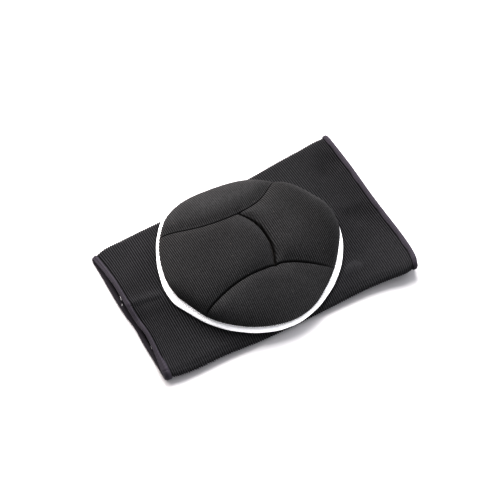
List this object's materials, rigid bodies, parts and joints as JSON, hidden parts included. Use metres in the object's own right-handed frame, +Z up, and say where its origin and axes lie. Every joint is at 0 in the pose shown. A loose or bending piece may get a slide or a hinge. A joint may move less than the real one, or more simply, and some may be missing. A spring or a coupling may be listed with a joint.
{
  "type": "dance knee pad",
  "caption": "Ribbed knit tube sleeve lying flat with a domed foam knee pad sewn on, pressed into panels and edged with white tape; bound openings at both ends.",
  "frame": {"origin": "middle of the footprint on the floor, as the pad lies", "axes": "+X along the sleeve to the thigh opening, +Y to the fold away from the viewer, +Z up through the pad"},
  "size_m": [0.2255, 0.1452, 0.0393],
  "materials": {
    "ribbed_knit": "matte ribbed knit",
    "binding_tape": "smooth woven tape",
    "pad_cover": "matte fine-ribbed knit",
    "white_tape": "woven tape"
  },
  "bodies": {
    "root": {"sleeve": "ribbed_knit", "binding_calf": "binding_tape", "binding_thigh": "binding_tape", "foam_pad": "pad_cover", "edge_tape": "white_tape"}
  },
  "joints": []
}
